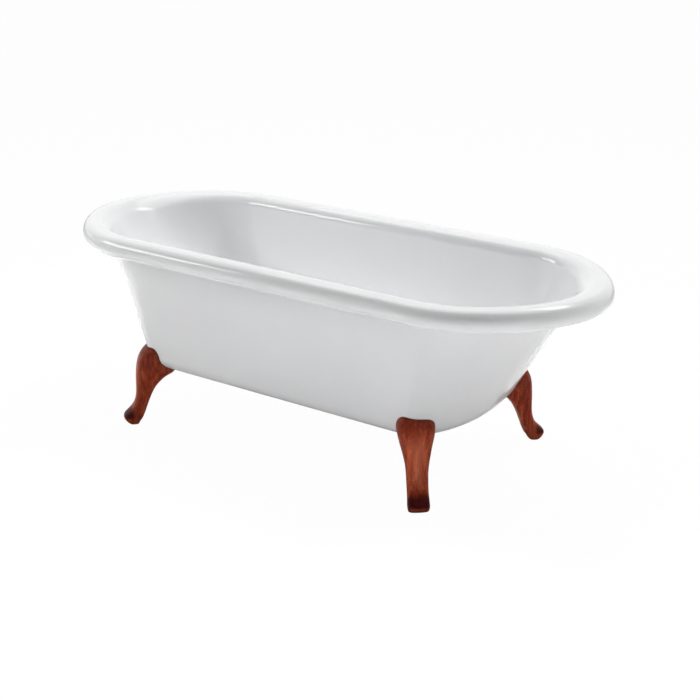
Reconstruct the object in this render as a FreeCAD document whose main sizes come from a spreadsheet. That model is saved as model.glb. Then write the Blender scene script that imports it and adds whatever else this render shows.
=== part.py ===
import FreeCAD, Part
import Sketcher
import math
import os

# Free-standing double-ended roll-top bathtub on four cabriole wooden legs.
# X runs along the tub, Y across it and Z up. The origin is on the floor under the tub's middle.
# The front is the -Y side and the right end is +X.

doc = FreeCAD.newDocument("bathtub")
sheet = doc.addObject("Spreadsheet::Sheet", "Sizes")

SIZES = (
    # The tub as a whole
    ("overall_length", 1700), ("overall_width", 700), ("overall_height", 568), ("wall", 12),
    ("base_height", 154), ("floor_thickness", 22), ("floor_fall", 6), ("waste_pad_length", 120),
    ("waste_pad_width", 100), ("waste_pad_straight", 40),
    # The rolled rim and the tops of the walls
    ("rim_radius", 29), ("rim_crown", 18), ("rim_blend", 32), ("rim_round", 347),
    ("rim_fullness_share", 0.48), ("lip_turn_angle", 170), ("side_inset", 67), ("end_inset", 85),
    # The bottoms of the walls and the corners below them, each with the length of its round end
    ("base_end_inset", 333), ("base_side_inset", 77), ("base_round", 92),
    ("base_fullness_share", 0.5), ("corner_rise", 60), ("side_corner", 110), ("end_corner", 30),
    ("corner_round", 122),
    ("inner_corner_rise", 75), ("inner_side_corner", 115), ("inner_end_corner", 60), ("inner_round", 147),
    # The legs
    ("ankle_end_setback", 33), ("ankle_side_reach", 1), ("leg_turn_angle", 48), ("leg_height", 242),
    ("toe_reach", 64), ("tongue_reach", 92), ("knee_width", 101), ("leg_fullness_share", 0.8),
    ("gasket_thickness", 1.8), ("seat_gap", 0.1),
    # The bolts that hold a leg to the tub
    ("bolt_diameter", 8), ("bolt_head_flats", 13), ("bolt_head_height", 5.3), ("bolt_hole_diameter", 9),
    ("outer_bolt_reach", 34), ("inner_bolt_reach", 60), ("outer_bolt_seat", 124), ("inner_bolt_seat", 146),
    ("washer_diameter", 20), ("washer_thickness", 1.6), ("spot_face_diameter", 22), ("bolt_end_gap", 1.5),
    ("insert_diameter", 12), ("insert_depth", 11), ("insert_setback", 1), ("insert_gap", 0.5),
    # The levelling feet in the soles
    ("leveller_reach", 32), ("pad_diameter", 20), ("pad_thickness", 5), ("pad_lift", 0.3), ("pad_gap", 1),
    ("socket_diameter", 11.6), ("socket_depth", 3.5), ("stem_foot_diameter", 11), ("stem_foot_height", 3.2),
    ("stem_diameter", 8), ("stem_length", 34), ("thread_gap", 0.05), ("sleeve_diameter", 12),
    ("sleeve_length", 20), ("sleeve_flange_diameter", 18), ("sleeve_flange", 2), ("sleeve_setback", 2.5),
    ("stem_room", 14), ("running_gap", 0.3),
    # The waste in the middle of the floor
    ("waste_hole_diameter", 52), ("waste_recess_diameter", 76), ("waste_recess_depth", 5),
    ("waste_flange_diameter", 72), ("waste_flange_thickness", 3), ("waste_thread_diameter", 48.6),
    ("waste_tail_diameter", 47.8), ("waste_tail_length", 33), ("waste_bore_diameter", 38),
    ("waste_mouth_diameter", 44), ("waste_mouth_depth", 6), ("waste_length", 66),
    ("top_seal_thickness", 1.5), ("bottom_seal_thickness", 4), ("slip_washer_thickness", 1.5),
    ("lower_ring_diameter", 72), ("locknut_flats", 64), ("locknut_height", 11), ("waste_gap", 0.2),
    ("spider_drop", 26), ("spider_height", 6), ("spider_rib", 4), ("spider_hub_diameter", 18),
    # The push-to-open plug in the waste
    ("plug_diameter", 62), ("plug_edge", 2.5), ("plug_crown", 4), ("spigot_diameter", 36.4),
    ("spigot_depth", 8), ("seal_groove_diameter", 32), ("seal_thickness", 2.5), ("seal_diameter", 43),
    ("seal_rise", 2),
    ("guide_diameter", 13), ("guide_bore_diameter", 10.4), ("guide_length", 27), ("guide_roof", 2),
    ("plug_roof", 3.2), ("core_length", 16), ("core_stub_diameter", 8), ("core_stub_length", 9),
    ("slide_gap", 0.08), ("spring_wire", 0.8), ("spring_turn_count", 6), ("spring_side_gap", 0.3),
    # One overrun for every cut
    ("overrun", 5),
)

for row, (alias, value) in enumerate(SIZES, start=1):
    sheet.set("A%d" % row, str(value))
    sheet.setAlias("A%d" % row, alias)
doc.recompute()


class Measure:
    """A number worked out from the sheet, with the expression that says how."""

    def __init__(self, text, value):
        self.text = text
        self.value = value

    def __add__(self, other):
        return Measure("(%s + %s)" % (self.text, other.text), self.value + other.value)

    def __sub__(self, other):
        return Measure("(%s - %s)" % (self.text, other.text), self.value - other.value)

    def __mul__(self, other):
        return Measure("(%s * %s)" % (self.text, other.text), self.value * other.value)

    def times(self, factor):
        return Measure("(%s * %s)" % (self.text, factor), self.value * factor)

    def half(self):
        return self.times(0.5)


def named(alias):
    return Measure("Sizes." + alias, float(sheet.get(alias)))


def size(alias):
    return named(alias).value


def blend(share, low, high):
    return low + (high - low) * share


NONE = Measure("0", 0.0)
TURN = named("leg_turn_angle")
TURN_COS = Measure("cos(%s)" % TURN.text, math.cos(math.radians(TURN.value)))
TURN_SIN = Measure("sin(%s)" % TURN.text, math.sin(math.radians(TURN.value)))
CORNERS = (("front_left", -1, -1), ("front_right", 1, -1), ("rear_left", -1, 1), ("rear_right", 1, 1))
NODES = []


def keep(item):
    """Put a finished piece on the list of pieces to write."""
    NODES.append(item)
    return item


# Solids skinned over oval sections

def oval(middle, axis, reach, half_width, straight, fullness):
    """One level section as the control points of its edges: cubic end curves and, if any, straight sides."""
    across = FreeCAD.Vector(-axis.y, axis.x, 0)
    near = straight + fullness * (reach - straight)
    side = fullness * half_width
    right = [(straight, -half_width), (near, -half_width), (reach, -side), (reach, 0)]
    edges = [right, [(u, -v) for u, v in reversed(right)]]
    edges += [[(-u, -v) for u, v in edge] for edge in edges]
    if straight > 0:
        edges.insert(2, [edges[1][-1], edges[2][0]])
        edges.append([edges[4][-1], edges[0][0]])
    return [[middle + axis * u + across * v for u, v in edge] for edge in edges]


def flat_face(section):
    curves = []
    for edge in section:
        curve = Part.BezierCurve()
        curve.setPoles(edge)
        curves.append(curve.toShape())
    return Part.Face(Part.Wire(curves))


def skin(sections):
    """A closed solid whose side passes smoothly through the sections in order, with flat ends."""
    travel = [0.0]
    for before, after in zip(sections, sections[1:]):
        step = sum(a[0].distanceToPoint(b[0]) for a, b in zip(before, after)) / len(before)
        travel.append(travel[-1] + step)
    knots = [distance / travel[-1] for distance in travel]
    faces = []
    for place, edge in enumerate(sections[0]):
        tracks = []
        for column in range(len(edge)):
            track = Part.BSplineCurve()
            track.interpolate(Points=[section[place][column] for section in sections], Parameters=knots)
            tracks.append(track)
        ends = [len(edge), len(edge)]
        surface = Part.BSplineSurface()
        surface.buildFromPolesMultsKnots([track.getPoles() for track in tracks], ends,
                                         tracks[0].getMultiplicities(), [0.0, 1.0], tracks[0].getKnots(),
                                         False, False, len(edge) - 1, 3)
        faces.append(surface.toShape())
    shell = Part.Shell(faces + [flat_face(sections[0]), flat_face(sections[-1])])
    shell.sewShape()
    solid = Part.Solid(shell)
    far_off = FreeCAD.Vector(size("overall_length"), size("overall_width"), 0)
    if solid.isInside(far_off, 0, False):
        solid.reverse()
    return solid


# The tub

ALONG = FreeCAD.Vector(1, 0, 0)
ROUND_WEIGHT = math.sqrt(0.5)
CORNER_STEPS, WALL_STEPS, ROLL_STEPS, LIP_STEPS, FLOOR_STEPS = 9, 5, 14, 6, 4

half_base_length = named("overall_length").half() - named("base_end_inset")
half_base_width = named("overall_width").half() - named("base_side_inset")
half_rim_straight = size("overall_length") / 2 - size("rim_round")
half_base_straight, half_corner_straight, half_inner_straight = (
    half_base_length.value - size(round_end) for round_end in ("base_round", "corner_round", "inner_round"))
ankle_along = half_base_length - named("ankle_end_setback")
ankle_across = half_base_width + named("ankle_side_reach")
rim_level = size("overall_height") - size("rim_radius")
rim_top = size("overall_height")
wall_top = rim_top - size("rim_blend")
base = size("base_height")


def wall_share(level):
    """How far up the wall a level is: nothing at the base and one at the roll's middle."""
    return (level - base) / (rim_level - base)


def end_wall(level):
    return blend(wall_share(level), half_base_length.value, size("overall_length") / 2 - size("end_inset"))


def side_wall(level):
    return blend(wall_share(level), half_base_width.value, size("overall_width") / 2 - size("side_inset"))


def straight_side(level):
    return blend(wall_share(level), half_base_straight, half_rim_straight)


def fullness(level):
    return blend(min(wall_share(level), 1), size("base_fullness_share"), size("rim_fullness_share"))


def sloped(thickness, wall_line):
    """The level distance through a sloping wall that is this thick square to its face."""
    slope = (wall_line(rim_level) - wall_line(base)) / (rim_level - base)
    return thickness * math.hypot(1, slope)


def rounded(step, steps, first, corner, last):
    """A point on a round corner that starts at first, heads for corner and ends at last."""
    share = step / steps
    weights = ((1 - share) ** 2, 2 * share * (1 - share) * ROUND_WEIGHT, share ** 2)
    return sum(w * p for w, p in zip(weights, (first, corner, last))) / sum(weights)


def tub_section(level, reach, half_width, straight, full):
    return oval(FreeCAD.Vector(0, 0, level), ALONG, reach, half_width, straight, full)


def wall_section(level, offset):
    reach = end_wall(level) + sloped(offset, end_wall)
    half_width = side_wall(level) + sloped(offset, side_wall)
    return tub_section(level, reach, half_width, straight_side(level), fullness(level))


def rim_section(inset, level):
    return tub_section(level, size("overall_length") / 2 - inset, size("overall_width") / 2 - inset,
                       half_rim_straight, size("rim_fullness_share"))


def corner_sections(bottom, top, offset, end_corner, side_corner, flat_straight):
    """The round corner between the flat bottom and the walls, from the bottom up."""
    sections = []
    for step in range(CORNER_STEPS):
        level = rounded(step, CORNER_STEPS, bottom, bottom, top)
        reaches = []
        for line, corner in ((end_wall, end_corner), (side_wall, side_corner)):
            low = line(bottom) + sloped(offset, line)
            high = line(top) + sloped(offset, line)
            reaches.append(rounded(step, CORNER_STEPS, low - corner, low, high))
        straight = rounded(step, CORNER_STEPS, flat_straight, straight_side(bottom), straight_side(top))
        sections.append(tub_section(level, reaches[0], reaches[1], straight, fullness(level)))
    return sections


def wall_sections(bottom, top, offset):
    return [wall_section(blend(step / WALL_STEPS, bottom, top), offset) for step in range(WALL_STEPS + 1)]


def outer_sections(gap, top):
    """The outside of the tub up to a level, this far off its surface."""
    bottom = base - gap
    shoulder = base + size("corner_rise")
    corner = corner_sections(bottom, shoulder, gap, size("end_corner"), size("side_corner"),
                             half_corner_straight)
    return corner + wall_sections(shoulder, top, gap)


def shoulder_sections(level, offset):
    """The bend from the top of a wall to the level crown of the rim."""
    crown = size("rim_radius") + size("rim_crown")
    sections = []
    for step in range(1, CORNER_STEPS + 1):
        height = rounded(step, CORNER_STEPS, wall_top, level, level)
        reaches = []
        for line, half in ((end_wall, size("overall_length") / 2), (side_wall, size("overall_width") / 2)):
            low, high = (line(z) + sloped(offset, line) for z in (wall_top, level))
            reaches.append(rounded(step, CORNER_STEPS, low, high, half - crown))
        sections.append(tub_section(height, reaches[0], reaches[1], half_rim_straight,
                                    size("rim_fullness_share")))
    return sections


def roll_point(radius, angle):
    """How far in from the rim's outer edge, and how high, a point of the roll is."""
    middle = size("rim_radius")
    return middle - radius * math.cos(angle), rim_level + radius * math.sin(angle)


def roll_sections(radius):
    """The roll over the rim, from the crown outwards and down to its lip."""
    turn = math.radians(size("lip_turn_angle"))
    angles = [math.pi / 2 - turn * step / ROLL_STEPS for step in range(ROLL_STEPS + 1)]
    return [rim_section(*roll_point(radius, angle)) for angle in angles]


def lip_sections():
    """The half-round edge that ends the roll, from its inner face to its outer face."""
    end = math.pi / 2 - math.radians(size("lip_turn_angle"))
    middle = size("rim_radius") - size("wall") / 2
    inset, level = roll_point(middle, end)
    sections = []
    for step in range(1, LIP_STEPS):
        angle = math.pi * step / LIP_STEPS
        out = size("wall") / 2 * math.cos(angle)
        along = size("wall") / 2 * math.sin(angle)
        sections.append(rim_section(inset + out * math.cos(end) - along * math.sin(end),
                                    level - out * math.sin(end) - along * math.cos(end)))
    return sections


def floor_sections(rim_of_floor):
    """The floor of the tub, which falls a little towards the waste."""
    edge_level, reach, half_width, straight = rim_of_floor
    sections = []
    for step in range(FLOOR_STEPS + 1):
        share = step / FLOOR_STEPS
        sections.append(tub_section(edge_level - size("floor_fall") * share,
                                    blend(share, reach, size("waste_pad_length") / 2),
                                    blend(share, half_width, size("waste_pad_width") / 2),
                                    blend(share, straight, size("waste_pad_straight") / 2),
                                    size("base_fullness_share")))
    return sections


def make_tub():
    wall = size("wall")
    sections = outer_sections(0, wall_top)
    sections += shoulder_sections(rim_top - wall, 0)
    sections += roll_sections(size("rim_radius") - wall)
    sections += lip_sections()
    sections += roll_sections(size("rim_radius"))[::-1]
    sections += shoulder_sections(rim_top, -wall)[::-1]
    floor = base + size("floor_thickness")
    shoulder = floor + size("inner_corner_rise")
    sections += wall_sections(shoulder, wall_top, -wall)[::-1]
    sections += corner_sections(floor, shoulder, -wall, size("inner_end_corner"), size("inner_side_corner"),
                                half_inner_straight)[:0:-1]
    reach = end_wall(floor) - sloped(wall, end_wall) - size("inner_end_corner")
    half_width = side_wall(floor) - sloped(wall, side_wall) - size("inner_side_corner")
    sections += floor_sections((floor, reach, half_width, half_inner_straight))
    return skin(sections)


floor_level = named("base_height") + named("floor_thickness") - named("floor_fall")
recess_level = floor_level - named("waste_recess_depth")


def upright_cylinder(diameter, bottom, top, x=0.0, y=0.0):
    return Part.makeCylinder(diameter / 2, top - bottom, FreeCAD.Vector(x, y, bottom))


def leg_spot(reach, side_x, side_y):
    """The plan point this far out along a leg from its ankle."""
    along = ankle_along.value + reach * TURN_COS.value
    across = ankle_across.value + reach * TURN_SIN.value
    return side_x * along, side_y * across


def tub_underside(x, y):
    """The level of the tub's outer surface straight above a plan point."""
    probe = Part.makeLine(FreeCAD.Vector(x, y, 0), FreeCAD.Vector(x, y, rim_level))
    return probe.common(tub_block).BoundBox.ZMin


tub_block = skin(outer_sections(0, wall_top))
insert_bottoms = {}
for bolt in ("outer_bolt", "inner_bolt"):
    highest_side = leg_spot(size("insert_diameter") / 2 - size(bolt + "_reach"), 1, 1)
    insert_bottoms[bolt] = tub_underside(*highest_side) + size("insert_setback")

above_floor = floor_level.value + size("overrun")
below_base = base - size("overrun")
tub_cuts = [
    upright_cylinder(size("waste_hole_diameter"), below_base, above_floor),
    upright_cylinder(size("waste_recess_diameter"), recess_level.value, above_floor),
]
for corner, side_x, side_y in CORNERS:
    for bolt, bottom in insert_bottoms.items():
        x, y = leg_spot(-size(bolt + "_reach"), side_x, side_y)
        hole = size("insert_diameter") + 2 * size("insert_gap")
        tub_cuts.append(upright_cylinder(hole, below_base, bottom + size("insert_depth"), x, y))

tub_shell = keep(doc.addObject("Part::Feature", "tub_shell"))
tub_shell.Shape = make_tub().cut(tub_cuts)


# The legs and the gaskets between them and the tub

# Each row: height, outer reach, inner reach and half width, as shares of the leg's height, its toe's reach,
# its tongue's reach and half the knee's width.
LEG_SHARES = (
    (0.0, 0.77, -0.21, 0.53), (0.02, 0.87, -0.185, 0.56), (0.045, 0.955, -0.135, 0.575),
    (0.07, 1.0, -0.085, 0.58), (0.092, 0.995, -0.055, 0.575), (0.115, 0.94, -0.03, 0.57),
    (0.14, 0.84, 0.0, 0.565), (0.175, 0.7, 0.03, 0.56), (0.22, 0.56, 0.075, 0.56),
    (0.275, 0.46, 0.13, 0.565), (0.34, 0.4, 0.2, 0.57), (0.41, 0.375, 0.29, 0.585),
    (0.48, 0.37, 0.41, 0.625), (0.55, 0.365, 0.58, 0.69), (0.61, 0.355, 0.79, 0.76),
    (0.66, 0.34, 1.0, 0.82), (0.73, 0.305, 1.0, 0.9), (0.81, 0.23, 1.0, 0.98), (0.87, 0.12, 1.0, 1.0),
    (0.925, -0.04, 1.0, 0.95), (0.972, -0.22, 1.0, 0.83), (1.0, -0.36, 1.0, 0.72),
)


def leg_blank():
    """The rear right leg before it is scribed to the tub."""
    axis = FreeCAD.Vector(TURN_COS.value, TURN_SIN.value, 0)
    ankle = FreeCAD.Vector(ankle_along.value, ankle_across.value, 0)
    sections = []
    for height, outer, inner, half_width in LEG_SHARES:
        out = outer * size("toe_reach")
        back = inner * size("tongue_reach")
        middle = ankle + axis * ((out - back) / 2) + FreeCAD.Vector(0, 0, height * size("leg_height"))
        sections.append(oval(middle, axis, (out + back) / 2, half_width * size("knee_width") / 2, 0,
                             size("leg_fullness_share")))
    return skin(sections)


sleeve_level = named("pad_lift") + named("pad_thickness") + named("sleeve_setback")
sleeve_roof = sleeve_level + named("sleeve_flange")


def leg_cuts():
    """The bolt holes through the tongue and the levelling foot's bore in the sole."""
    cuts = []
    for bolt in ("outer_bolt", "inner_bolt"):
        x, y = leg_spot(-size(bolt + "_reach"), 1, 1)
        cuts.append(upright_cylinder(size("bolt_hole_diameter"), 0, rim_level, x, y))
        cuts.append(upright_cylinder(size("spot_face_diameter"), 0, size(bolt + "_seat"), x, y))
    x, y = leg_spot(size("leveller_reach"), 1, 1)
    under = -size("overrun")
    fit = 2 * size("seat_gap")
    cuts.append(upright_cylinder(size("pad_diameter") + 2 * size("pad_gap"), under, sleeve_roof.value, x, y))
    sleeve_top = sleeve_level.value + size("sleeve_length")
    cuts.append(upright_cylinder(size("sleeve_diameter") + fit, under, sleeve_top, x, y))
    cuts.append(upright_cylinder(size("bolt_hole_diameter"), under, sleeve_top + size("stem_room"), x, y))
    return cuts


inner_face = size("seat_gap")
outer_face = inner_face + size("gasket_thickness")
gasket_gaps = (inner_face, outer_face, outer_face + size("seat_gap"))
clear_of_tub = [skin(outer_sections(gap, wall_top)) for gap in gasket_gaps]
blank = leg_blank()
bolt_holes = leg_cuts()[0:3:2]
leg_shape = blank.cut(clear_of_tub[2]).cut(leg_cuts())
gasket_shape = blank.common(clear_of_tub[1]).cut(clear_of_tub[0]).cut(bolt_holes)


def to_corner(shape, side_x, side_y):
    """The rear right piece mirrored to another corner."""
    origin = FreeCAD.Vector(0, 0, 0)
    if side_x < 0:
        shape = shape.mirror(origin, FreeCAD.Vector(1, 0, 0))
    if side_y < 0:
        shape = shape.mirror(origin, FreeCAD.Vector(0, 1, 0))
    return shape


for kind, shape in (("leg", leg_shape), ("leg_gasket", gasket_shape)):
    for corner, side_x, side_y in CORNERS:
        piece = keep(doc.addObject("Part::Feature", kind + "_" + corner))
        piece.Shape = to_corner(shape, side_x, side_y)


# Turned pieces: one closed outline of (radius, height) points, revolved about the upright axis

def origin_plane(body, role):
    return next(item for item in body.Origin.OriginFeatures if item.Role == role)


def turned(label, outline, level, spot=(NONE, NONE)):
    body = doc.addObject("PartDesign::Body", label)
    sketch = body.newObject("Sketcher::SketchObject", label + "_outline")
    sketch.AttachmentSupport = [(origin_plane(body, "XZ_Plane"), "")]
    sketch.MapMode = "FlatFace"
    points = [FreeCAD.Vector(radius.value, height.value, 0) for radius, height in outline]
    count = len(points)
    for index in range(count):
        sketch.addGeometry(Part.LineSegment(points[index], points[(index + 1) % count]), False)
    for index in range(count):
        sketch.addConstraint(Sketcher.Constraint("Coincident", index, 2, (index + 1) % count, 1))
    for index, (radius, height) in enumerate(outline):
        for axis, direction, measure in ((-2, "DistanceX", radius), (-1, "DistanceY", height)):
            if measure is NONE:
                sketch.addConstraint(Sketcher.Constraint("PointOnObject", index, 1, axis))
                continue
            place = sketch.addConstraint(Sketcher.Constraint(direction, -1, 1, index, 1, measure.value))
            sketch.setExpression("Constraints[%d]" % place, measure.text)
    solid = body.newObject("PartDesign::Revolution", label + "_turned")
    solid.Profile = sketch
    solid.ReferenceAxis = (sketch, ["V_Axis"])
    solid.Angle = 360
    body.Tip = solid
    put(body, level, spot)
    return body


def put(item, level, spot=(NONE, NONE)):
    """Bind a piece's place to the sheet."""
    item.setExpression(".Placement.Base.x", spot[0].text)
    item.setExpression(".Placement.Base.y", spot[1].text)
    item.setExpression(".Placement.Base.z", level.text)


def ring(label, inner_diameter, outer_diameter, thickness, level, spot=(NONE, NONE)):
    inner = inner_diameter.half()
    outer = outer_diameter.half()
    return turned(label, [(inner, NONE), (outer, NONE), (outer, thickness), (inner, thickness)], level, spot)


def primitive(kind, label, level, **sizes):
    item = doc.addObject("Part::" + kind, label)
    for name, measure in sizes.items():
        item.setExpression(name, measure.text)
    put(item, level)
    return item


def joined(label, kind, **inputs):
    item = doc.addObject("Part::" + kind, label)
    for name, value in inputs.items():
        setattr(item, name, value)
    return item


def hexagon(label, flats, height, level):
    across_corners = flats * Measure("(1 / cos(30))", 1 / math.cos(math.radians(30)))
    prism = primitive("Prism", label, level, Circumradius=across_corners.half(), Height=height)
    prism.Polygon = 6
    return prism


def copies(label, pattern, spots):
    """One node that holds the same small piece at several places."""
    doc.recompute()
    shapes = []
    for x, y in spots:
        shape = pattern.Shape.copy()
        shape.translate(FreeCAD.Vector(x, y, 0))
        shapes.append(shape)
    group = keep(doc.addObject("Part::Feature", label))
    group.Shape = Part.makeCompound(shapes)
    return group


def leg_spots(reach):
    return [leg_spot(reach, side_x, side_y) for corner, side_x, side_y in CORNERS]


# Bolts, washers and threaded inserts between legs and tub

for bolt, bottom in insert_bottoms.items():
    seat = named(bolt + "_seat")
    bottom_level = Measure(repr(bottom), bottom)
    washer_level = seat - named("washer_thickness")
    head_level = washer_level - named("bolt_head_height")
    reach = -size(bolt + "_reach")
    bore = named("bolt_diameter") + named("thread_gap").times(2)
    washer = ring(bolt + "_washer_pattern", bore, named("washer_diameter"), named("washer_thickness"),
                  washer_level)
    copies(bolt + "_washers", washer, leg_spots(reach))
    insert = ring(bolt + "_insert_pattern", bore, named("insert_diameter"), named("insert_depth"),
                  bottom_level)
    copies(bolt + "_inserts", insert, leg_spots(reach))
    head = hexagon(bolt + "_head", named("bolt_head_flats"), named("bolt_head_height"), head_level)
    shank_length = bottom_level + named("insert_depth") - named("bolt_end_gap") - head_level
    shank = primitive("Cylinder", bolt + "_shank", head_level, Radius=named("bolt_diameter").half(),
                      Height=shank_length)
    pattern = joined(bolt + "_pattern", "Fuse", Base=head, Tool=shank)
    copies(bolt + "s", pattern, leg_spots(reach))


# Levelling feet: a threaded sleeve pressed into each sole, a stem that screws in it, and a pad on the stem

sleeve_bore = (named("stem_diameter") + named("thread_gap").times(2)).half()
sleeve_radius = named("sleeve_diameter").half()
sleeve_edge = named("sleeve_flange_diameter").half()
sleeve = turned("sole_sleeve_pattern", [
    (sleeve_bore, NONE), (sleeve_edge, NONE), (sleeve_edge, named("sleeve_flange")),
    (sleeve_radius, named("sleeve_flange")), (sleeve_radius, named("sleeve_length")),
    (sleeve_bore, named("sleeve_length"))], sleeve_level)
copies("sole_sleeves", sleeve, leg_spots(size("leveller_reach")))

socket_floor = named("pad_thickness") - named("socket_depth")
stem_level = named("pad_lift") + socket_floor + named("running_gap")
pad_edge = named("pad_diameter").half()
socket_radius = named("socket_diameter").half()
foot_radius = named("stem_foot_diameter").half()
stem_radius = named("stem_diameter").half()
for corner, side_x, side_y in CORNERS:
    along = ankle_along + named("leveller_reach") * TURN_COS
    across = ankle_across + named("leveller_reach") * TURN_SIN
    spot = (along.times(side_x), across.times(side_y))
    keep(turned("leveller_pad_" + corner, [
        (NONE, NONE), (pad_edge, NONE), (pad_edge, named("pad_thickness")),
        (socket_radius, named("pad_thickness")), (socket_radius, socket_floor), (NONE, socket_floor)],
        named("pad_lift"), spot))
    keep(turned("leveller_stem_" + corner, [
        (NONE, NONE), (foot_radius, NONE), (foot_radius, named("stem_foot_height")),
        (stem_radius, named("stem_foot_height")), (stem_radius, named("stem_length")),
        (NONE, named("stem_length"))], stem_level, spot))


# The waste, clamped through the floor

flange_level = recess_level + named("top_seal_thickness")
flange_top = flange_level + named("waste_flange_thickness")
waste_bottom = flange_top - named("waste_length")
ring_bore = named("waste_thread_diameter") + named("waste_gap").times(2)

outer_block = turned("waste_body_turned", [
    (named("waste_bore_diameter").half(), NONE), (named("waste_tail_diameter").half(), NONE),
    (named("waste_tail_diameter").half(), named("waste_tail_length")),
    (named("waste_thread_diameter").half(), named("waste_tail_length")),
    (named("waste_thread_diameter").half(), named("waste_length") - named("waste_flange_thickness")),
    (named("waste_flange_diameter").half(), named("waste_length") - named("waste_flange_thickness")),
    (named("waste_flange_diameter").half(), named("waste_length")),
    (named("waste_mouth_diameter").half(), named("waste_length")),
    (named("waste_mouth_diameter").half(), named("waste_length") - named("waste_mouth_depth")),
    (named("waste_bore_diameter").half(), named("waste_length") - named("waste_mouth_depth"))], waste_bottom)
spider_top = flange_top - named("spider_drop")
spider_level = spider_top - named("spider_height")
rib_length = (named("waste_bore_diameter") + named("waste_thread_diameter")).half()
ribs = []
for name, long_side, short_side in (("long", "Length", "Width"), ("cross", "Width", "Length")):
    rib = doc.addObject("Part::Box", "waste_rib_" + name)
    rib.setExpression(long_side, rib_length.text)
    rib.setExpression(short_side, named("spider_rib").text)
    rib.setExpression("Height", named("spider_height").text)
    shift = {long_side: rib_length.half(), short_side: named("spider_rib").half()}
    put(rib, spider_level, (NONE - shift["Length"], NONE - shift["Width"]))
    ribs.append(rib)
hub = primitive("Cylinder", "waste_hub", spider_level, Radius=named("spider_hub_diameter").half(),
                Height=named("spider_height"))
whole = joined("waste_body_whole", "MultiFuse", Shapes=[outer_block, hub] + ribs)
hub_bore = (named("core_stub_diameter") + named("thread_gap").times(2)).half()
drill = primitive("Cylinder", "waste_hub_bore", spider_level - named("overrun"), Radius=hub_bore,
                  Height=named("spider_height") + named("overrun").times(2))
keep(joined("waste_body", "Cut", Base=whole, Tool=drill))

keep(ring("waste_top_seal", ring_bore, named("waste_flange_diameter"), named("top_seal_thickness"),
          recess_level))
seal_level = named("base_height") - named("bottom_seal_thickness")
keep(ring("waste_bottom_seal", ring_bore, named("lower_ring_diameter"), named("bottom_seal_thickness"),
          seal_level))
slip_level = seal_level - named("slip_washer_thickness")
keep(ring("waste_slip_washer", ring_bore, named("lower_ring_diameter"), named("slip_washer_thickness"),
          slip_level))
nut_level = slip_level - named("locknut_height")
nut_block = hexagon("waste_locknut_block", named("locknut_flats"), named("locknut_height"), nut_level)
nut_bore = primitive("Cylinder", "waste_locknut_bore", nut_level - named("overrun"),
                     Radius=named("waste_thread_diameter").half() + named("thread_gap"),
                     Height=named("locknut_height") + named("overrun").times(2))
keep(joined("waste_locknut", "Cut", Base=nut_block, Tool=nut_bore))


# The push-to-open plug: a fixed core screwed into the waste, and a cap that slides on it over a spring

core_radius = named("guide_bore_diameter").half() - named("slide_gap")
stub_radius = named("core_stub_diameter").half()
whole_core = named("core_stub_length") + named("core_length")
core_top = spider_top + named("core_length")
keep(turned("plug_core", [
    (NONE, NONE), (stub_radius, NONE), (stub_radius, named("core_stub_length")),
    (core_radius, named("core_stub_length")), (core_radius, whole_core), (NONE, whole_core)],
    spider_top - named("core_stub_length")))

cap_level = flange_top + named("running_gap")
spigot_level = cap_level - named("spigot_depth")
groove_low = named("seal_rise")
groove_high = groove_low + named("seal_thickness") + named("slide_gap")
cap_edge = named("spigot_depth") + named("plug_edge")
cap_top = cap_edge + named("plug_crown")
cap_bore = named("guide_diameter").half() + named("thread_gap")
cap_roof = cap_top - named("plug_roof")
cap_outline = [
    (cap_bore, NONE), (named("spigot_diameter").half(), NONE), (named("spigot_diameter").half(), groove_low),
    (named("seal_groove_diameter").half(), groove_low), (named("seal_groove_diameter").half(), groove_high),
    (named("spigot_diameter").half(), groove_high), (named("spigot_diameter").half(), named("spigot_depth")),
    (named("plug_diameter").half(), named("spigot_depth")), (named("plug_diameter").half(), cap_edge)]
# The crown: how far in and how far up each point of it is, as shares of the cap's radius and the crown.
for radius_share, rise_share in ((0.96, 0.3), (0.86, 0.55), (0.68, 0.78), (0.4, 0.95)):
    cap_outline.append((named("plug_diameter").half().times(radius_share),
                        cap_edge + named("plug_crown").times(rise_share)))
cap_outline += [(NONE, cap_top), (NONE, cap_roof), (cap_bore, cap_roof)]
keep(turned("plug_cap", cap_outline, spigot_level))

seal_bore = named("seal_groove_diameter") + named("slide_gap").times(2)
keep(ring("plug_seal", seal_bore, named("seal_diameter"), named("seal_thickness"),
          spigot_level + groove_low + named("slide_gap").half()))

guide_top = spigot_level + cap_roof - named("thread_gap")
guide_level = guide_top - named("guide_length")
guide_inner = named("guide_bore_diameter").half()
guide_depth = named("guide_length") - named("guide_roof")
keep(turned("plug_guide", [
    (guide_inner, NONE), (named("guide_diameter").half(), NONE),
    (named("guide_diameter").half(), named("guide_length")), (NONE, named("guide_length")),
    (NONE, guide_depth), (guide_inner, guide_depth)], guide_level))


def make_spring():
    """The coil between the core's top and the guide's roof, with the cap down."""
    wire = size("spring_wire")
    low = core_top.value + size("running_gap") + wire / 2
    high = guide_level.value + guide_depth.value - size("running_gap") - wire / 2
    radius = size("guide_bore_diameter") / 2 - size("spring_side_gap") - wire / 2
    coil = Part.makeHelix((high - low) / size("spring_turn_count"), high - low, radius)
    start = Part.makeCircle(wire / 2, FreeCAD.Vector(radius, 0, 0), FreeCAD.Vector(0, 1, 0))
    solid = Part.Wire(coil.Edges).makePipeShell([Part.Wire([start])], True, True)
    solid.translate(FreeCAD.Vector(0, 0, low))
    return solid


plug_spring = keep(doc.addObject("Part::Feature", "plug_spring"))
plug_spring.Shape = make_spring()


# Check every piece, then write it

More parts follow.
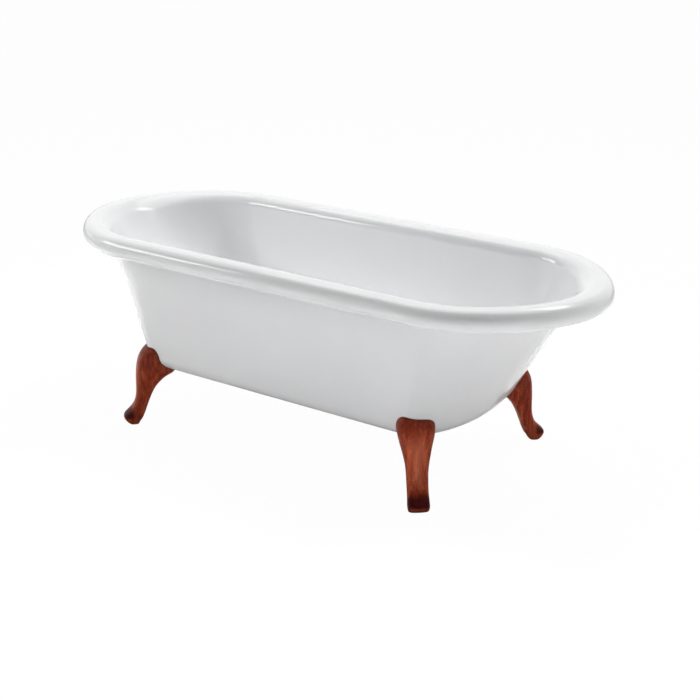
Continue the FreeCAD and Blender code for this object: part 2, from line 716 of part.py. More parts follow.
doc.recompute()
for item in doc.Objects:
    if "Invalid" in item.State or "Error" in item.State:
        raise RuntimeError("%s did not compute" % item.Label)
os.makedirs("parts", exist_ok=True)
for item in NODES:
    shape = item.Shape
    if shape.isNull() or not shape.isValid():
        raise RuntimeError("%s has no valid shape" % item.Label)
    if not shape.Solids:
        raise RuntimeError("%s holds no solid" % item.Label)
for item in NODES:
    item.Shape.exportStep("parts/%s.step" % item.Label)
    print(item.Label, len(item.Shape.Solids), round(item.Shape.Volume))
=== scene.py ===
import math

import bpy
import bmesh
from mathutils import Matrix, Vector


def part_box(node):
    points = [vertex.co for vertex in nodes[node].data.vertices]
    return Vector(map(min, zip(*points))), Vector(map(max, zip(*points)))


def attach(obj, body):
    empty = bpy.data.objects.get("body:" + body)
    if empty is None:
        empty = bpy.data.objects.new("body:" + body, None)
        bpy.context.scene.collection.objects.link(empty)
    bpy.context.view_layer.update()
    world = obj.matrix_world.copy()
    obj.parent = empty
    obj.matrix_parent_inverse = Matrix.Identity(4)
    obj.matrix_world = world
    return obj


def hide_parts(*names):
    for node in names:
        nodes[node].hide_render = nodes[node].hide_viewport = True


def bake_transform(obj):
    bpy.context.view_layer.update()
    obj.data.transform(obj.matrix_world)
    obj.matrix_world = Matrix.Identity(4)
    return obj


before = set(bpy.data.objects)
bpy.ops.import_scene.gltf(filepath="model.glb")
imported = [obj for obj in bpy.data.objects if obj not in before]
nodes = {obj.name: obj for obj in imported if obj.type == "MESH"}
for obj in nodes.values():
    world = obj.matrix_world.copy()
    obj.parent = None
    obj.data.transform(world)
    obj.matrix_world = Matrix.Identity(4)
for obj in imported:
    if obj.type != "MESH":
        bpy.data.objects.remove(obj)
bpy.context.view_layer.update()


# The tub: one casting of stone-filled resin with a white gelcoat, poured in a closed mould.
# Its rim is rolled outwards and under, open beneath, and its floor falls to a recess for the waste.
# Its flat underside is as it left the mould's back, and the legs are bolted up against its corners.

half_length, half_width, rim_height, underside = 0.850, 0.350, 0.568, 0.154
wall, floor_level, floor_fall = 0.012, 0.176, 0.006
roll_radius, rim_crown, rim_blend = 0.029, 0.018, 0.032
lip_turn = math.radians(170)
roll_height = rim_height - roll_radius
end_low, end_high, side_low, side_high = 0.517, 0.765, 0.273, 0.283
straight_low, straight_high = 0.425, 0.503
fullness_low_share, fullness_high_share = 0.5, 0.48


def along(share, low, high):
    return low + (high - low) * share


def rounded(share, first, corner, last):
    """A value on a round arc from first to last, whose two straight ends would meet at corner."""
    weights = ((1 - share) ** 2, 2 * share * (1 - share) * math.sqrt(0.5), share ** 2)
    return sum(w * p for w, p in zip(weights, (first, corner, last))) / sum(weights)


def oval(z, reach, half, straight, full, steps=26, side_steps=30):
    """A level ring: two cubic ends joined by straight sides."""
    quarter = []
    for i in range(steps):
        t = i / steps
        first, second, third, last = (1 - t) ** 3, 3 * t * (1 - t) ** 2, 3 * t * t * (1 - t), t ** 3
        x = first * straight + second * (straight + full * (reach - straight)) + (third + last) * reach
        y = (first + second) * half + third * full * half
        quarter.append((x, y))
    right = [(x, -y) for x, y in quarter] + [(reach, 0.0)] + quarter[:0:-1]
    side = [(straight - 2 * straight * i / side_steps, half) for i in range(side_steps)]
    half_ring = right + side
    return [(x, y, z) for x, y in half_ring] + [(-x, -y, z) for x, y in half_ring]


def rise(z):
    return (z - underside) / (roll_height - underside)


def fullness(z):
    return along(min(rise(z), 1), fullness_low_share, fullness_high_share)


def wall_values(z, thickness):
    """The reach, half width, straight side and fullness of the sloping wall, so thick inwards."""
    end = thickness * math.hypot(1, (end_high - end_low) / (roll_height - underside))
    side = thickness * math.hypot(1, (side_high - side_low) / (roll_height - underside))
    return (along(rise(z), end_low, end_high) - end, along(rise(z), side_low, side_high) - side,
            along(rise(z), straight_low, straight_high), fullness(z))


def corner_rings(bottom, thickness, height, cut_end, cut_side, flat, steps):
    """The round corner from a flat bottom up into the wall."""
    top_end, top_side, top_straight, _ = wall_values(bottom + height, thickness)
    low_end, low_side, low_straight, _ = wall_values(bottom, thickness)
    corner = []
    for i in range(steps):
        share = i / steps
        z = rounded(share, bottom, bottom, bottom + height)
        corner.append(oval(z, rounded(share, low_end - cut_end, low_end, top_end),
                           rounded(share, low_side - cut_side, low_side, top_side),
                           rounded(share, flat, low_straight, top_straight), fullness(z)))
    return corner


def wall_rings(bottom, top, thickness, steps):
    levels = [along(i / steps, bottom, top) for i in range(steps + 1)]
    return [oval(z, *wall_values(z, thickness)) for z in levels]


def shoulder_rings(level, thickness, steps):
    """The bend from the wall out to the top of the rim."""
    start = rim_height - rim_blend
    low_end, low_side, _, _ = wall_values(start, thickness)
    high_end, high_side, _, _ = wall_values(level, thickness)
    crown = roll_radius + rim_crown
    shoulder = []
    for i in range(1, steps + 1):
        share = i / steps
        shoulder.append(oval(rounded(share, start, level, level),
                             rounded(share, low_end, high_end, half_length - crown),
                             rounded(share, low_side, high_side, half_width - crown),
                             straight_high, fullness_high_share))
    return shoulder


def rim_ring(inset, z):
    return oval(z, half_length - inset, half_width - inset, straight_high, fullness_high_share)


def roll_rings(radius, steps):
    """The round of the rim, from its top over the outside and back under."""
    roll = []
    for i in range(steps + 1):
        angle = math.pi / 2 - lip_turn * i / steps
        roll.append(rim_ring(roll_radius - radius * math.cos(angle), roll_height + radius * math.sin(angle)))
    return roll


def lip_rings(steps):
    """The rounded edge where the roll ends."""
    end = math.pi / 2 - lip_turn
    out, way = (-math.cos(end), math.sin(end)), (-math.sin(end), -math.cos(end))
    lip = []
    for i in range(1, steps):
        turn = math.pi * i / steps
        inset, lift = [(roll_radius - wall / 2) * a + wall / 2 * (-math.cos(turn) * a + math.sin(turn) * b)
                       for a, b in zip(out, way)]
        lip.append(rim_ring(roll_radius + inset, roll_height + lift))
    return lip


def circle_like(ring, radius, z):
    """A round ring whose points lie in the same directions as another ring's."""
    return [(x * radius / math.hypot(x, y), y * radius / math.hypot(x, y), z) for x, y, _ in ring]


def between(first, second, share, z):
    return [(along(share, a[0], b[0]), along(share, a[1], b[1]), z) for a, b in zip(first, second)]


outer_rise, outer_end_cut, outer_side_cut, outer_flat = 0.060, 0.030, 0.110, 0.395
inner_rise, inner_end_cut, inner_side_cut, inner_flat = 0.075, 0.060, 0.115, 0.370
outside = corner_rings(underside, 0.0, outer_rise, outer_end_cut, outer_side_cut, outer_flat, steps=26)
inside = corner_rings(floor_level, wall, inner_rise, inner_end_cut, inner_side_cut, inner_flat, steps=30)

pad_level = floor_level - floor_fall
pad_reach, pad_half_width, pad_straight = 0.060, 0.050, 0.020
pad_values = (pad_reach, pad_half_width, pad_straight, fullness_low_share)
pad = oval(pad_level, *pad_values)
hole_radius, recess_radius, recess_depth = 0.026, 0.038, 0.005
recess_level = pad_level - recess_depth
low_hole = circle_like(pad, hole_radius, underside)

under_shares = (0.0, 0.02, 0.15, 0.4, 0.7, 0.9)
rings = [between(low_hole, outside[0], share, underside) for share in under_shares]
rings += outside
rings += wall_rings(underside + outer_rise, rim_height - rim_blend, thickness=0.0, steps=14)
rings += shoulder_rings(rim_height - wall, thickness=0.0, steps=12)
rings += roll_rings(roll_radius - wall, steps=36)
rings += lip_rings(steps=12)
rings += roll_rings(roll_radius, steps=56)[::-1]
rings += shoulder_rings(rim_height, wall, steps=26)[::-1]
rings += wall_rings(floor_level + inner_rise, rim_height - rim_blend, wall, steps=18)[::-1]
rings += inside[:0:-1]

floor_reach, floor_half_width, _, _ = wall_values(floor_level, wall)
floor_values = (floor_reach - inner_end_cut, floor_half_width - inner_side_cut, inner_flat,
                fullness_low_share)
floor_steps = 10
for i in range(floor_steps + 1):
    share = i / floor_steps
    values = [along(share, outer, inner) for outer, inner in zip(floor_values, pad_values)]
    rings.append(oval(along(share, floor_level, pad_level), *values))
for radius, z in ((recess_radius + 0.006, pad_level), (recess_radius + 0.0025, pad_level),
                  (recess_radius + 0.0009, pad_level - 0.0002), (recess_radius + 0.0002, pad_level - 0.0009),
                  (recess_radius, pad_level - 0.002), (recess_radius, recess_level + 0.0006),
                  (recess_radius - 0.0004, recess_level), (recess_radius - 0.004, recess_level),
                  (hole_radius + 0.0015, recess_level), (hole_radius + 0.0002, recess_level - 0.0003),
                  (hole_radius, recess_level - 0.0012), (hole_radius, underside + 0.001)):
    rings.append(circle_like(pad, radius, z))


def rings_to_mesh(name, rings, joined=False, capped=False):
    """A smooth skin through rings of points: joined end to end, or capped at both ends."""
    count = len(rings[0])
    steps = len(rings) if joined else len(rings) - 1
    faces = []
    for row in range(steps):
        low, high = row * count, (row + 1) % len(rings) * count
        for i in range(count):
            j = (i + 1) % count
            faces.append((low + i, low + j, high + j, high + i))
    if capped:
        faces.append(tuple(range(count))[::-1])
        faces.append(tuple(range(len(rings) * count - count, len(rings) * count)))
    mesh = bpy.data.meshes.new(name)
    mesh.from_pydata([point for ring in rings for point in ring], [], faces)
    shape = bmesh.new()
    shape.from_mesh(mesh)
    bmesh.ops.recalc_face_normals(shape, faces=shape.faces)
    shape.to_mesh(mesh)
    shape.free()
    mesh.polygons.foreach_set("use_smooth", [len(face) == 4 for face in faces])
    piece = bpy.data.objects.new(name, mesh)
    bpy.context.scene.collection.objects.link(piece)
    return piece


tub = rings_to_mesh("tub_casting", rings, joined=True)


def node_adder(tree):
    """A helper that adds a node to a tree, sets its values and links its sockets."""
    def add(kind, sockets=(), **settings):
        node = tree.nodes.new(kind)
        for key, value in settings.items():
            if hasattr(node, key):
                setattr(node, key, value)
            else:
                node.inputs[key.replace("_", " ")].default_value = value
        for socket, source in dict(sockets).items():
            if isinstance(source, bpy.types.NodeSocket):
                tree.links.new(source, node.inputs[socket])
            else:
                node.inputs[socket].default_value = source
        return node

    return add


def finish(name):
    """A new finish: its material, its shader, a helper that adds nodes and one that feeds the shader."""
    material = bpy.data.materials.new(name)
    material.use_nodes = True
    tree = material.node_tree
    shader = tree.nodes["Principled BSDF"]

    def feed(socket, source):
        tree.links.new(source, shader.inputs[socket])

    return material, shader, node_adder(tree), feed


def object_place(add):
    return add("ShaderNodeTexCoord").outputs["Object"]


def ramp(add, source, *stops):
    """A colour band: each stop is a place from 0 to 1 and a colour."""
    node = add("ShaderNodeValToRGB", {"Fac": source})
    band = node.color_ramp.elements
    while len(band) < len(stops):
        band.new(0.5)
    for element, (place, colour) in zip(band, stops):
        element.position = place
        element.color = (*colour, 1.0)
    return node.outputs["Color"]


def fade(add, source, start=0.0, end=1.0, low=0.0, high=1.0):
    """A number that goes from low to high while its source goes from start to end."""
    node = add("ShaderNodeMapRange", {"Value": source, "To Min": low, "To Max": high},
               From_Min=start, From_Max=end)
    return node.outputs["Result"]


def reckon(add, operation, *values):
    """A number worked out from node outputs and plain numbers."""
    return add("ShaderNodeMath", dict(enumerate(values)), operation=operation).outputs[0]


dull_white, bright_white = (0.893, 0.899, 0.907), (0.912, 0.917, 0.923)
gelcoat, shader, add, feed = finish("white_gelcoat")
place = object_place(add)
cloud = add("ShaderNodeTexNoise", {"Vector": place}, Scale=5.0, Detail=4.0, Roughness=0.55)
feed("Base Color", ramp(add, cloud.outputs["Fac"], (0.3, dull_white), (0.7, bright_white)))
haze = add("ShaderNodeTexNoise", {"Vector": place}, Scale=38.0, Detail=3.0)
feed("Roughness", fade(add, haze.outputs["Fac"], low=0.06, high=0.10))
swell = add("ShaderNodeTexNoise", {"Vector": place}, Scale=7.0, Detail=1.0)
swell_bump = add("ShaderNodeBump", {"Height": swell.outputs["Fac"]}, Strength=0.25, Distance=0.0012)
peel = add("ShaderNodeTexNoise", {"Vector": place}, Scale=260.0, Detail=2.0)
peel_bump = add("ShaderNodeBump", {"Height": peel.outputs["Fac"], "Normal": swell_bump.outputs["Normal"]},
                Strength=0.08, Distance=0.0001)
feed("Normal", peel_bump.outputs["Normal"])
shader.inputs["IOR"].default_value = 1.5

# The underside is bare resin, brushed over chopped glass strands.
dark_resin, pale_resin = (0.50, 0.50, 0.47), (0.66, 0.66, 0.63)
backing, shader, add, feed = finish("resin_backing")
place = object_place(add)
strands = add("ShaderNodeTexVoronoi", {"Vector": place}, Scale=160.0, feature="DISTANCE_TO_EDGE")
brushed = add("ShaderNodeTexNoise", {"Vector": place}, Scale=24.0, Detail=6.0)
feed("Base Color", ramp(add, brushed.outputs["Fac"], (0.3, dark_resin), (0.7, pale_resin)))
shader.inputs["Roughness"].default_value = 0.62
rough = add("ShaderNodeBump", {"Height": strands.outputs["Distance"]}, Strength=0.35, Distance=0.0006)
feed("Normal", rough.outputs["Normal"])


def give(piece, material, body, stands_for):
    """A finish, the body it rides on and the node it stands for, which it hides."""
    piece.data.materials.append(material)
    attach(piece, body)
    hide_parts(stands_for)


give(tub, gelcoat, "tub", "tub_shell")
tub.data.materials.append(backing)
for face in list(tub.data.polygons)[:len(rings[0]) * (len(under_shares) - 1)]:
    face.material_index = 1


# The legs: cabriole legs carved from a reddish hardwood and lacquered, with painted shade along their sides
# and a painted sheen down their middle.
# Each is scribed to the tub's corner and turns its toe outwards along the diagonal.

leg_place, leg_turn = (0.484, 0.274, 0.0), math.radians(48)
wood, shader, add, feed = finish("hardwood_painted_shade_and_sheen")

# All four legs are read in the place of the rear-right one, each with its own stretch of grain.
parts = add("ShaderNodeSeparateXYZ", {"Vector": object_place(add)})
x, y, z = (parts.outputs[axis] for axis in "XYZ")
folded = add("ShaderNodeCombineXYZ", {"X": reckon(add, "ABSOLUTE", x), "Y": reckon(add, "ABSOLUTE", y),
                                      "Z": z})
local = add("ShaderNodeMapping", {"Vector": folded.outputs[0]}, vector_type="TEXTURE", Location=leg_place,
            Rotation=(0.0, 0.0, leg_turn))
which = add("ShaderNodeCombineXYZ", {"X": reckon(add, "SIGN", x), "Y": reckon(add, "SIGN", y)})
shift = add("ShaderNodeVectorMath", {0: which.outputs[0], 1: (0.37, 0.61, 0.0)}, operation="MULTIPLY")
own = add("ShaderNodeVectorMath", {0: local.outputs[0], 1: shift.outputs[0]}, operation="ADD")

# Broad figure: long bands of colour that wander along the grain.
sway = add("ShaderNodeTexNoise", {"Vector": own.outputs[0]}, Scale=9.0, Detail=2.0)
bend = add("ShaderNodeVectorMath", {0: sway.outputs["Color"]}, operation="SCALE", Scale=0.035)
bent = add("ShaderNodeVectorMath", {0: own.outputs[0], 1: bend.outputs[0]}, operation="ADD")
long_grain = add("ShaderNodeMapping", {"Vector": bent.outputs[0]}, Scale=(1.0, 1.0, 0.09))
figure = add("ShaderNodeTexNoise", {"Vector": long_grain.outputs[0]}, Scale=95.0, Detail=5.0, Roughness=0.62,
             Distortion=0.35)
late_wood, dark_wood = (0.155, 0.014, 0.006), (0.315, 0.045, 0.017)
red_wood, early_wood = (0.455, 0.080, 0.030), (0.62, 0.145, 0.058)
tone = ramp(add, figure.outputs["Fac"], (0.28, late_wood), (0.43, dark_wood), (0.56, red_wood),
            (0.72, early_wood))

# Fine dark pores drawn out along the grain.
fine_grain = add("ShaderNodeMapping", {"Vector": bent.outputs[0]}, Scale=(1.0, 1.0, 0.035))
pores = add("ShaderNodeTexNoise", {"Vector": fine_grain.outputs[0]}, Scale=620.0, Detail=3.0)
pore_depth = fade(add, pores.outputs["Fac"], start=0.36, end=0.52, low=0.42)
pored = add("ShaderNodeMix", {"A": tone, "B": pore_depth, "Factor": 0.8}, data_type="RGBA",
            blend_type="MULTIPLY")

# Down the middle of the leg, between its knee and its toe, a painted sheen makes the wood paler.
knee_top, knee_low, toe_top, toe_clear = 0.215, 0.165, 0.055, 0.085
middle_half, side_half = 0.002, 0.024
own_parts = add("ShaderNodeSeparateXYZ", {"Vector": local.outputs[0]})
outward, height = own_parts.outputs["X"], own_parts.outputs["Z"]
off_middle = reckon(add, "ABSOLUTE", own_parts.outputs["Y"])
shank = reckon(add, "MULTIPLY", fade(add, height, knee_top, knee_low), fade(add, height, toe_top, toe_clear))
# The painted sheen: paler wood in the middle of the shank.
painted_sheen = reckon(add, "MULTIPLY", fade(add, off_middle, middle_half, side_half, low=0.30, high=0.0), shank)
sheen_colour = (0.56, 0.175, 0.095, 1.0)
paler = add("ShaderNodeMix", {"A": pored.outputs["Result"], "Factor": painted_sheen, "B": sheen_colour},
            data_type="RGBA")

# Painted shade darkens the sides of the leg. The wood is also darker at its top and on the toe's upper face.
painted_side_shade = fade(add, off_middle, start=0.020, end=0.046, high=0.5)
toe_low, toe_high, toe_out = ((0.013, 0.022), (0.062, 0.036), (0.026, 0.040))
toe_band = reckon(add, "MULTIPLY", fade(add, height, *toe_low), fade(add, height, *toe_high))
toe_part = reckon(add, "MULTIPLY", toe_band, fade(add, outward, *toe_out))
toe_darkening = reckon(add, "MULTIPLY", toe_part, 0.92)
top_darkening = fade(add, height, start=0.155, end=0.225, high=0.55)
# Painted shade on the sides, and the darker top and toe, mixed in one mask.
shade_and_darkening = reckon(add, "MAXIMUM", reckon(add, "MAXIMUM", painted_side_shade, toe_darkening), top_darkening)
darkening_colour = (0.046, 0.0035, 0.005, 1.0)
shaded_and_darkened = add("ShaderNodeMix", {"A": paler.outputs["Result"], "Factor": shade_and_darkening, "B": darkening_colour},
              data_type="RGBA")
feed("Base Color", shaded_and_darkened.outputs["Result"])
feed("Roughness", fade(add, figure.outputs["Fac"], low=0.30, high=0.46))
shader.inputs["Specular IOR Level"].default_value = 0.05
shader.inputs["Coat Weight"].default_value = 0.03
shader.inputs["Coat Roughness"].default_value = 0.22
grain_bump = add("ShaderNodeBump", {"Height": pores.outputs["Fac"]}, Strength=0.22, Distance=0.0004)
feed("Normal", grain_bump.outputs["Normal"])


def paint(material, *names):
    for name in names:
        nodes[name].data.materials.clear()
        nodes[name].data.materials.append(material)


corners = ("front_left", "front_right", "rear_left", "rear_right")
paint(wood, *["leg_" + corner for corner in corners])


# The gaskets between the legs and the tub: moulded rubber, squeezed as the bolts are drawn up.
# Only their thin dark edge shows, where the leg meets the tub.

dark_rubber, pale_rubber = (0.014, 0.014, 0.015), (0.034, 0.034, 0.036)
rubber, shader, add, feed = finish("black_rubber")
place = object_place(add)
bloom = add("ShaderNodeTexNoise", {"Vector": place}, Scale=90.0, Detail=5.0)
feed("Base Color", ramp(add, bloom.outputs["Fac"], (0.3, dark_rubber), (0.75, pale_rubber)))
shader.inputs["Roughness"].default_value = 0.66
grit = add("ShaderNodeTexNoise", {"Vector": place}, Scale=1900.0, Detail=2.0)
skin = add("ShaderNodeBump", {"Height": grit.outputs["Fac"]}, Strength=0.2, Distance=0.0001)
feed("Normal", skin.outputs["Normal"])
paint(rubber, *["leg_gasket_" + corner for corner in corners])


# The leg's fixings: zinc-plated bolts and washers, which clamp each leg from below,
# and the turned brass inserts, cast into the tub's corners, that the bolts screw into.

dark_zinc, pale_zinc = (0.50, 0.50, 0.47), (0.66, 0.66, 0.64)
zinc, shader, add, feed = finish("zinc_plate")
place = object_place(add)
spangle = add("ShaderNodeTexVoronoi", {"Vector": place}, Scale=420.0)
feed("Base Color", ramp(add, spangle.outputs["Distance"], (0.1, dark_zinc), (0.8, pale_zinc)))
shader.inputs["Metallic"].default_value = 1.0
wear = add("ShaderNodeTexNoise", {"Vector": place}, Scale=140.0, Detail=4.0)
feed("Roughness", fade(add, wear.outputs["Fac"], low=0.28, high=0.46))
paint(zinc, "outer_bolts", "inner_bolts", "outer_bolt_washers", "inner_bolt_washers")

tarnished_brass, bright_brass = (0.46, 0.29, 0.095), (0.62, 0.42, 0.16)
brass, shader, add, feed = finish("turned_brass")
place = object_place(add)
lines = add("ShaderNodeMapping", {"Vector": place}, Scale=(0.15, 0.15, 9.0))
turned = add("ShaderNodeTexNoise", {"Vector": lines.outputs[0]}, Scale=240.0, Detail=3.0)
tarnish = add("ShaderNodeTexNoise", {"Vector": place}, Scale=65.0, Detail=5.0)
feed("Base Color", ramp(add, tarnish.outputs["Fac"], (0.3, tarnished_brass), (0.7, bright_brass)))
shader.inputs["Metallic"].default_value = 1.0
feed("Roughness", fade(add, tarnish.outputs["Fac"], low=0.2, high=0.36))
tool_marks = add("ShaderNodeBump", {"Height": turned.outputs["Fac"]}, Strength=0.12, Distance=0.0001)
feed("Normal", tool_marks.outputs["Normal"])
paint(brass, "outer_bolt_inserts", "inner_bolt_inserts")


# The levelling feet: a zinc-plated sleeve is pressed in each sole, and a stud with a rolled thread
# screws in it. The stud's round foot turns in a moulded nylon pad, which stands on the floor.

paint(zinc, "sole_sleeves")

dark_nylon, pale_nylon = (0.020, 0.020, 0.021), (0.042, 0.042, 0.044)
nylon, shader, add, feed = finish("dark_nylon")
place = object_place(add)
mottle = add("ShaderNodeTexNoise", {"Vector": place}, Scale=160.0, Detail=4.0)
feed("Base Color", ramp(add, mottle.outputs["Fac"], (0.3, dark_nylon), (0.7, pale_nylon)))
shader.inputs["Roughness"].default_value = 0.42
moulded = add("ShaderNodeTexNoise", {"Vector": place}, Scale=900.0, Detail=2.0)
skin = add("ShaderNodeBump", {"Height": moulded.outputs["Fac"]}, Strength=0.15, Distance=0.0001)
feed("Normal", skin.outputs["Normal"])
paint(nylon, *["leveller_pad_" + corner for corner in corners])


def threaded_stem(name, node):
    """A stud with its real thread, inside the plain cylinder that stands for it."""
    low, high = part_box(node)
    middle = (low + high) / 2
    crest, root, pitch, thread_end, thread_taper = 0.004, 0.0034, 0.00125, 0.0012, 0.0004
    foot_radius, foot_height, foot_edge = 0.0055, 0.0032, 0.0004
    around, per_turn = 28, 8
    profile = [(foot_radius - 0.0009, low.z), (foot_radius - 0.0002, low.z + foot_edge),
               (foot_radius, low.z + 0.0012), (foot_radius - 0.0002, low.z + foot_height - foot_edge),
               (foot_radius - 0.001, low.z + foot_height)]
    turns = [math.tau * i / around for i in range(around)]
    rings = [[(middle.x + r * math.cos(turn), middle.y + r * math.sin(turn), z) for turn in turns]
             for r, z in profile]
    start, end = low.z + foot_height, high.z
    rows = int((end - start) / pitch * per_turn)
    for row in range(rows + 1):
        z = start + (end - start) * row / rows
        taper = min(1.0, (end - z) / thread_end)
        ring = []
        for turn in turns:
            tooth = abs(((z - start) / pitch - turn / math.tau) % 1.0 * 2 - 1)
            r = root + (crest - root) * tooth * taper - thread_taper * (1 - taper)
            ring.append((middle.x + r * math.cos(turn), middle.y + r * math.sin(turn), z))
        rings.append(ring)
    return rings_to_mesh(name, rings, capped=True)


for corner in corners:
    node = "leveller_stem_" + corner
    give(threaded_stem("stud_" + corner, node), zinc, node, node)


# The waste: a chromed brass body whose flange sits in the floor's recess on a rubber seal.
# A brass locknut draws it down from below, on a nylon slip washer and a second rubber seal.

dull_chrome, bright_chrome = (0.74, 0.75, 0.765), (0.80, 0.81, 0.82)
chrome, shader, add, feed = finish("polished_chrome")
film = add("ShaderNodeTexNoise", {"Vector": object_place(add)}, Scale=55.0, Detail=4.0)
feed("Base Color", ramp(add, film.outputs["Fac"], (0.3, dull_chrome), (0.7, bright_chrome)))
shader.inputs["Metallic"].default_value = 1.0
feed("Roughness", fade(add, film.outputs["Fac"], low=0.05, high=0.12))
paint(chrome, "waste_body")
paint(rubber, "waste_top_seal", "waste_bottom_seal")
paint(nylon, "waste_slip_washer")
paint(brass, "waste_locknut")


# The plug: a spun chrome dome over a short spigot, with a rubber seal in the spigot's groove.
# It is fixed on a turned brass guide, which slides on a brass core that stands in the waste.

paint(rubber, "plug_seal")
paint(brass, "plug_core", "plug_guide")


def turned_piece(name, profile, around=96):
    turns = [math.tau * i / around for i in range(around)]
    rings = [[(r * math.cos(turn), r * math.sin(turn), z) for turn in turns] for r, z in profile]
    return rings_to_mesh(name, rings, capped=True)


low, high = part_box("plug_cap")
spigot_radius, groove_radius, cap_radius, socket_radius = 0.0182, 0.0160, 0.0310, 0.0065
crown_rise, edge_height, edge_round = 0.004, 0.0025, 0.0004
crown_low = high.z - crown_rise
edge_low = crown_low - edge_height
roof = high.z - 0.0032
groove_low, groove_high = low.z + 0.0020, low.z + 0.0045
dome = [(socket_radius - 0.0001, roof), (socket_radius, roof), (socket_radius + 0.00005, low.z + edge_round),
        (socket_radius + 0.0005, low.z), (spigot_radius - edge_round, low.z),
        (spigot_radius, low.z + edge_round), (spigot_radius, groove_low - 0.0001),
        (groove_radius, groove_low), (groove_radius, groove_high),
        (spigot_radius, groove_high + 0.0001), (spigot_radius, edge_low),
        (spigot_radius + 0.0008, edge_low),
        (cap_radius - 0.0007, edge_low), (cap_radius - 0.0001, edge_low + 0.0005),
        (cap_radius, edge_low + 0.0012), (cap_radius - 0.0001, crown_low)]
crown_steps = 16
for i in range(1, crown_steps + 1):
    angle = math.pi / 2 * i / crown_steps
    dome.append((max(0.0004, (cap_radius - 0.0002) * math.cos(angle) ** 0.9),
                 crown_low + (crown_rise - 0.00005) * math.sin(angle) ** 1.25))
give(turned_piece("plug_dome", dome), chrome, "plug", "plug_cap")


# The spring under the cap: a coil of plated steel wire, which in the real waste stretches as the plug rises;
# here it is drawn once, at its length in model.glb.
# It stands on the core and pushes against the guide's roof.

low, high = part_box("plug_spring")
wire_radius, drawn_radius, spring_turns, turn_steps, wire_sides = 0.0004, 0.00039, 6, 28, 10
coil_radius = (high.x - low.x) / 2 - wire_radius
start, end = low.z + wire_radius, high.z - wire_radius
steps = spring_turns * turn_steps
coil = []
for step in range(steps + 1):
    angle = math.tau * spring_turns * step / steps
    outward, upward = Vector((math.cos(angle), math.sin(angle), 0)), Vector((0, 0, 1))
    centre = coil_radius * outward + along(step / steps, start, end) * upward
    sides = [math.tau * i / wire_sides for i in range(wire_sides)]
    coil.append([tuple(centre + drawn_radius * (outward * math.cos(side) + upward * math.sin(side)))
                 for side in sides])
spring = rings_to_mesh("plug_coil", coil, capped=True)
spring.data.materials.append(zinc)
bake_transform(spring)
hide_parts("plug_spring")


# The studio: a white floor, which the camera sees almost at full strength, and a white surround, which the
# camera, the gloss and transmitted rays see at full strength.
# Behind and above the camera it is dark, so that the rim's outer face falls into shade.

floor_half, floor_white_share = 30.0, 0.975
open_light, dark_light = 0.62, 0.05
floor_corners = [(-floor_half, -floor_half, 0), (floor_half, -floor_half, 0), (floor_half, floor_half, 0),
                 (-floor_half, floor_half, 0)]
floor_mesh = bpy.data.meshes.new("floor")
floor_mesh.from_pydata(floor_corners, [], [(0, 1, 2, 3)])
floor = bpy.data.objects.new("floor", floor_mesh)
bpy.context.scene.collection.objects.link(floor)
white, shader, add, feed = finish("white_floor")
shader.inputs["Base Color"].default_value = (0.9, 0.9, 0.9, 1.0)
shader.inputs["Roughness"].default_value = 0.9
shader.inputs["Specular IOR Level"].default_value = 0.0
seen = add("ShaderNodeLightPath").outputs["Is Camera Ray"]
plain = add("ShaderNodeEmission", Color=(1.0, 1.0, 1.0, 1.0), Strength=1.0)
shown = reckon(add, "MULTIPLY", seen, floor_white_share)
mix = add("ShaderNodeMixShader", {"Fac": shown, 1: shader.outputs["BSDF"], 2: plain.outputs["Emission"]})
out = next(node for node in white.node_tree.nodes if node.type == "OUTPUT_MATERIAL")
white.node_tree.links.new(mix.outputs["Shader"], out.inputs["Surface"])
floor_mesh.materials.append(white)

scene = bpy.context.scene
world = bpy.data.worlds.new("surround")
scene.world = world
world.use_nodes = True
ground = world.node_tree.nodes["Background"]
ground.inputs["Color"].default_value = (1.0, 1.0, 1.0, 1.0)
add = node_adder(world.node_tree)
way = add("ShaderNodeTexCoord").outputs["Generated"]
to_front = (0.26, -0.966, 0.0)
forward = add("ShaderNodeVectorMath", {0: way, 1: to_front}, operation="DOT_PRODUCT").outputs["Value"]
up = add("ShaderNodeSeparateXYZ", {"Vector": way}).outputs["Z"]
in_front, upward = fade(add, forward, start=-0.35, end=0.25), fade(add, up, start=0.04, end=0.28)
dark_part = reckon(add, "MULTIPLY", in_front, upward)
rays = add("ShaderNodeLightPath")
open_level = fade(add, rays.outputs["Is Glossy Ray"], low=open_light, high=1.0)
around = fade(add, dark_part, low=open_level, high=dark_light)
shown = reckon(add, "MAXIMUM", rays.outputs["Is Camera Ray"], rays.outputs["Is Transmission Ray"])
world.node_tree.links.new(fade(add, shown, low=around, high=1.0), ground.inputs["Strength"])


tub_middle = Vector((0, 0, 0.4))
wash_height, wash_spread = 1.7, math.radians(22)


def area_lamp(name, width, height, power):
    data = bpy.data.lights.new(name, "AREA")
    data.shape = "RECTANGLE"
    data.size, data.size_y, data.energy = width, height, power
    lamp_object = bpy.data.objects.new(name, data)
    lamp_object.visible_camera = False
    scene.collection.objects.link(lamp_object)
    return lamp_object


def direction(azimuth, elevation):
    """The way from the tub to what stands round it: azimuth from the front, both in radians."""
    return Vector((math.sin(azimuth) * math.cos(elevation), -math.cos(azimuth) * math.cos(elevation),
                   math.sin(elevation)))


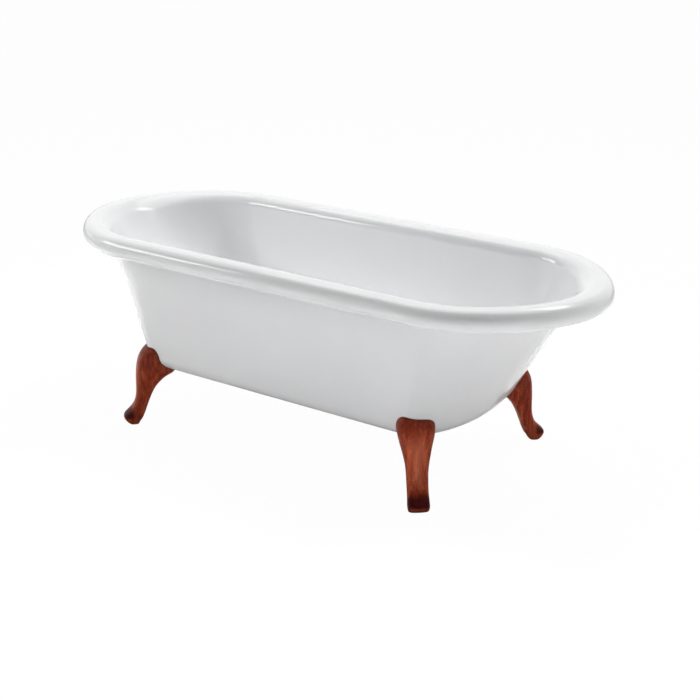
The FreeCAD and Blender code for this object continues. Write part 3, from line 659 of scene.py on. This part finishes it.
def softbox(name, azimuth, elevation, distance, width, height, radiance):
    """A softbox that faces the tub, given by where it stands and how bright its face is."""
    lamp_object = area_lamp(name, width, height, radiance * math.pi * width * height)
    way = direction(math.radians(azimuth), math.radians(elevation))
    lamp_object.location = tub_middle + way * distance
    lamp_object.rotation_euler = way.to_track_quat("Z", "Y").to_euler()


def floor_wash(name, x, y, width, height, power):
    """A narrow lamp that shines straight down, so that its light comes back up from the floor."""
    lamp_object = area_lamp(name, width, height, power)
    lamp_object.data.spread = wash_spread
    lamp_object.location = (x, y, wash_height)


softbox("ceiling", azimuth=180, elevation=72, distance=4.2, width=6.5, height=3.0, radiance=1.62)
softbox("back_box", azimuth=152, elevation=55, distance=2.95, width=1.8, height=0.5, radiance=5.5)
softbox("left_box", azimuth=-57, elevation=25.5, distance=3.15, width=1.6, height=0.66, radiance=7.5)
floor_wash("wash_front", x=1.0, y=-1.15, width=3.2, height=0.6, power=32.0)
floor_wash("wash_back", x=0.0, y=1.0, width=2.8, height=0.5, power=2.5)
floor_wash("wash_right", x=1.5, y=0.2, width=0.5, height=1.6, power=6.5)
floor_wash("wash_left", x=-1.45, y=0.0, width=0.5, height=1.6, power=5.0)
floor_wash("wash_basin", x=-0.09, y=0.0, width=0.9, height=0.06, power=1.6)
floor_wash("wash_corner", x=1.0, y=-0.85, width=0.7, height=0.5, power=7.5)


# The camera: it stands in front of the right end, a little above the rim.
# Its focal length is that of a 36 mm sensor as wide as the photograph.

focal_pixels, picture_pixels, sensor_width = 1446.11, 700, 36.0
aim, camera_distance = Vector((0.06941, 0.0, 0.26048)), 4.12747
back = direction(math.radians(36.11), math.radians(19.94))
camera_data = bpy.data.cameras.new("camera")
camera_data.sensor_width = sensor_width
camera_data.lens = focal_pixels / picture_pixels * sensor_width
camera = bpy.data.objects.new("camera", camera_data)
camera.location = aim + back * camera_distance
camera.rotation_euler = back.to_track_quat("Z", "Y").to_euler()
scene.collection.objects.link(camera)
scene.camera = camera
scene.view_settings.view_transform = "Standard"
